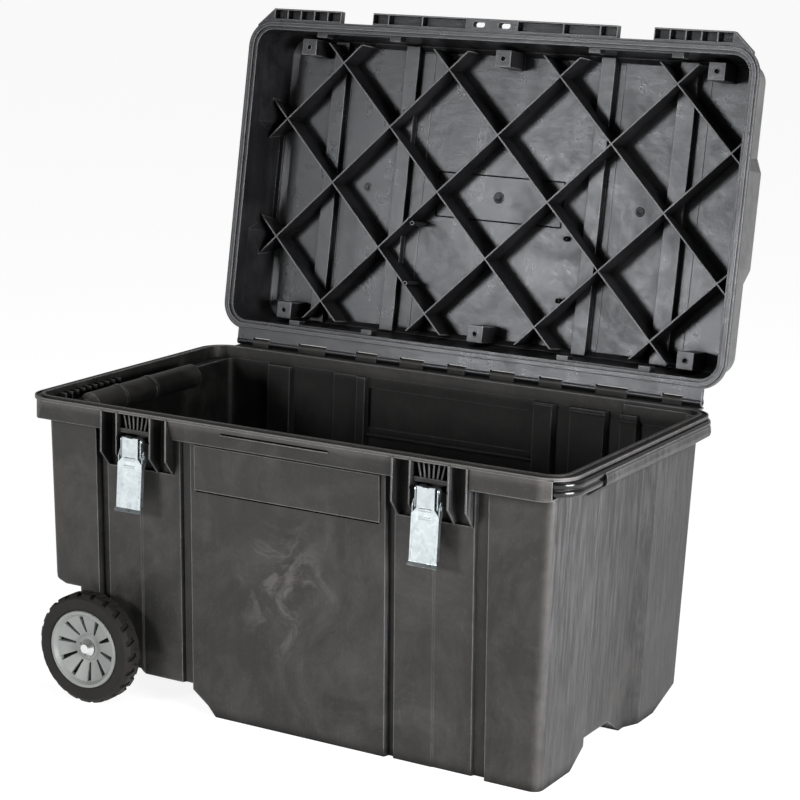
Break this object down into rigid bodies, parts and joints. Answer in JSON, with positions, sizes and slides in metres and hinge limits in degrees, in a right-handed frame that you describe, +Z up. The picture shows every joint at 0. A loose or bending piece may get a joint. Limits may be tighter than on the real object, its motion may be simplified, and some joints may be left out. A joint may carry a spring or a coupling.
{
  "type": "wheeled jobsite storage box",
  "caption": "Moulded storage box on two wheels with a hinged ribbed lid, over-centre front latches and a pull handle at one end.",
  "frame": {"origin": "on the ground, under the middle of the rim's opening", "axes": "+Z up, +X towards the pull handle, -Y towards the latches"},
  "size_m": [0.9475, 0.7867, 1.0445],
  "materials": {
    "tub_plastic": "fine moulded grain, slightly dusty",
    "lid_plastic": "fine moulded grain",
    "black_plastic": "plain moulded",
    "handle_bar": "gloss black",
    "latch_steel": "bright zinc plate",
    "rod_steel": "drawn bright",
    "cap_steel": "pressed, bright",
    "hub_plastic": "satin grey",
    "tyre_rubber": "matte"
  },
  "bodies": {
    "tub": {"tub": "tub_plastic", "hinge_rod": "rod_steel", "axle": "rod_steel", "front_axle_cap": "cap_steel", "rear_axle_cap": "cap_steel", "front_wheel_spacer": "black_plastic", "rear_wheel_spacer": "black_plastic", "front_handle_guide": "black_plastic", "rear_handle_guide": "black_plastic", "left_latch_pin": "latch_steel", "right_latch_pin": "latch_steel"},
    "lid": {"lid": "lid_plastic"},
    "left_latch_link": {"left_latch_link": "latch_steel", "left_latch_rivet": "latch_steel"},
    "left_latch_lever": {"left_latch_lever": "latch_steel"},
    "right_latch_link": {"right_latch_link": "latch_steel", "right_latch_rivet": "latch_steel"},
    "right_latch_lever": {"right_latch_lever": "latch_steel"},
    "pull_handle": {"pull_handle": "handle_bar", "handle_grip": "tub_plastic", "front_handle_keeper": "black_plastic", "rear_handle_keeper": "black_plastic"},
    "front_wheel": {"front_tyre": "tyre_rubber", "front_hub": "hub_plastic"},
    "rear_wheel": {"rear_tyre": "tyre_rubber", "rear_hub": "hub_plastic"}
  },
  "joints": [
    {"name": "lid_hinge", "type": "hinge", "parent": "tub", "child": "lid", "pos_m": [0, 0.2895, 0.472], "axis": [1, 0, 0], "range_deg": [0, 98.8]},
    {"name": "handle_slide", "type": "slide", "parent": "tub", "child": "pull_handle", "axis": [1, 0, 0], "range_m": [0, 0.066]},
    {"name": "front_wheel_spin", "type": "hinge", "parent": "tub", "child": "front_wheel", "pos_m": [-0.326, -0.286, 0.087], "axis": [0, 1, 0], "continuous": true},
    {"name": "rear_wheel_spin", "type": "hinge", "parent": "tub", "child": "rear_wheel", "pos_m": [-0.326, 0.286, 0.087], "axis": [0, 1, 0], "continuous": true},
    {"name": "left_latch_swing", "type": "hinge", "parent": "tub", "child": "left_latch_link", "pos_m": [-0.256, -0.271, 0.423], "axis": [-1, 0, 0], "range_deg": [0, 180]},
    {"name": "left_lever_turn", "type": "hinge", "parent": "left_latch_link", "child": "left_latch_lever", "pos_m": [-0.256, -0.271, 0.399], "axis": [-1, 0, 0], "range_deg": [-180, 0]},
    {"name": "right_latch_swing", "type": "hinge", "parent": "tub", "child": "right_latch_link", "pos_m": [0.256, -0.271, 0.423], "axis": [-1, 0, 0], "range_deg": [0, 180]},
    {"name": "right_lever_turn", "type": "hinge", "parent": "right_latch_link", "child": "right_latch_lever", "pos_m": [0.256, -0.271, 0.399], "axis": [-1, 0, 0], "range_deg": [-180, 0]}
  ],
  "couplings": [
    {"joint": "left_lever_turn", "follows": "left_latch_swing", "ratio": -1},
    {"joint": "right_lever_turn", "follows": "right_latch_swing", "ratio": -1}
  ]
}
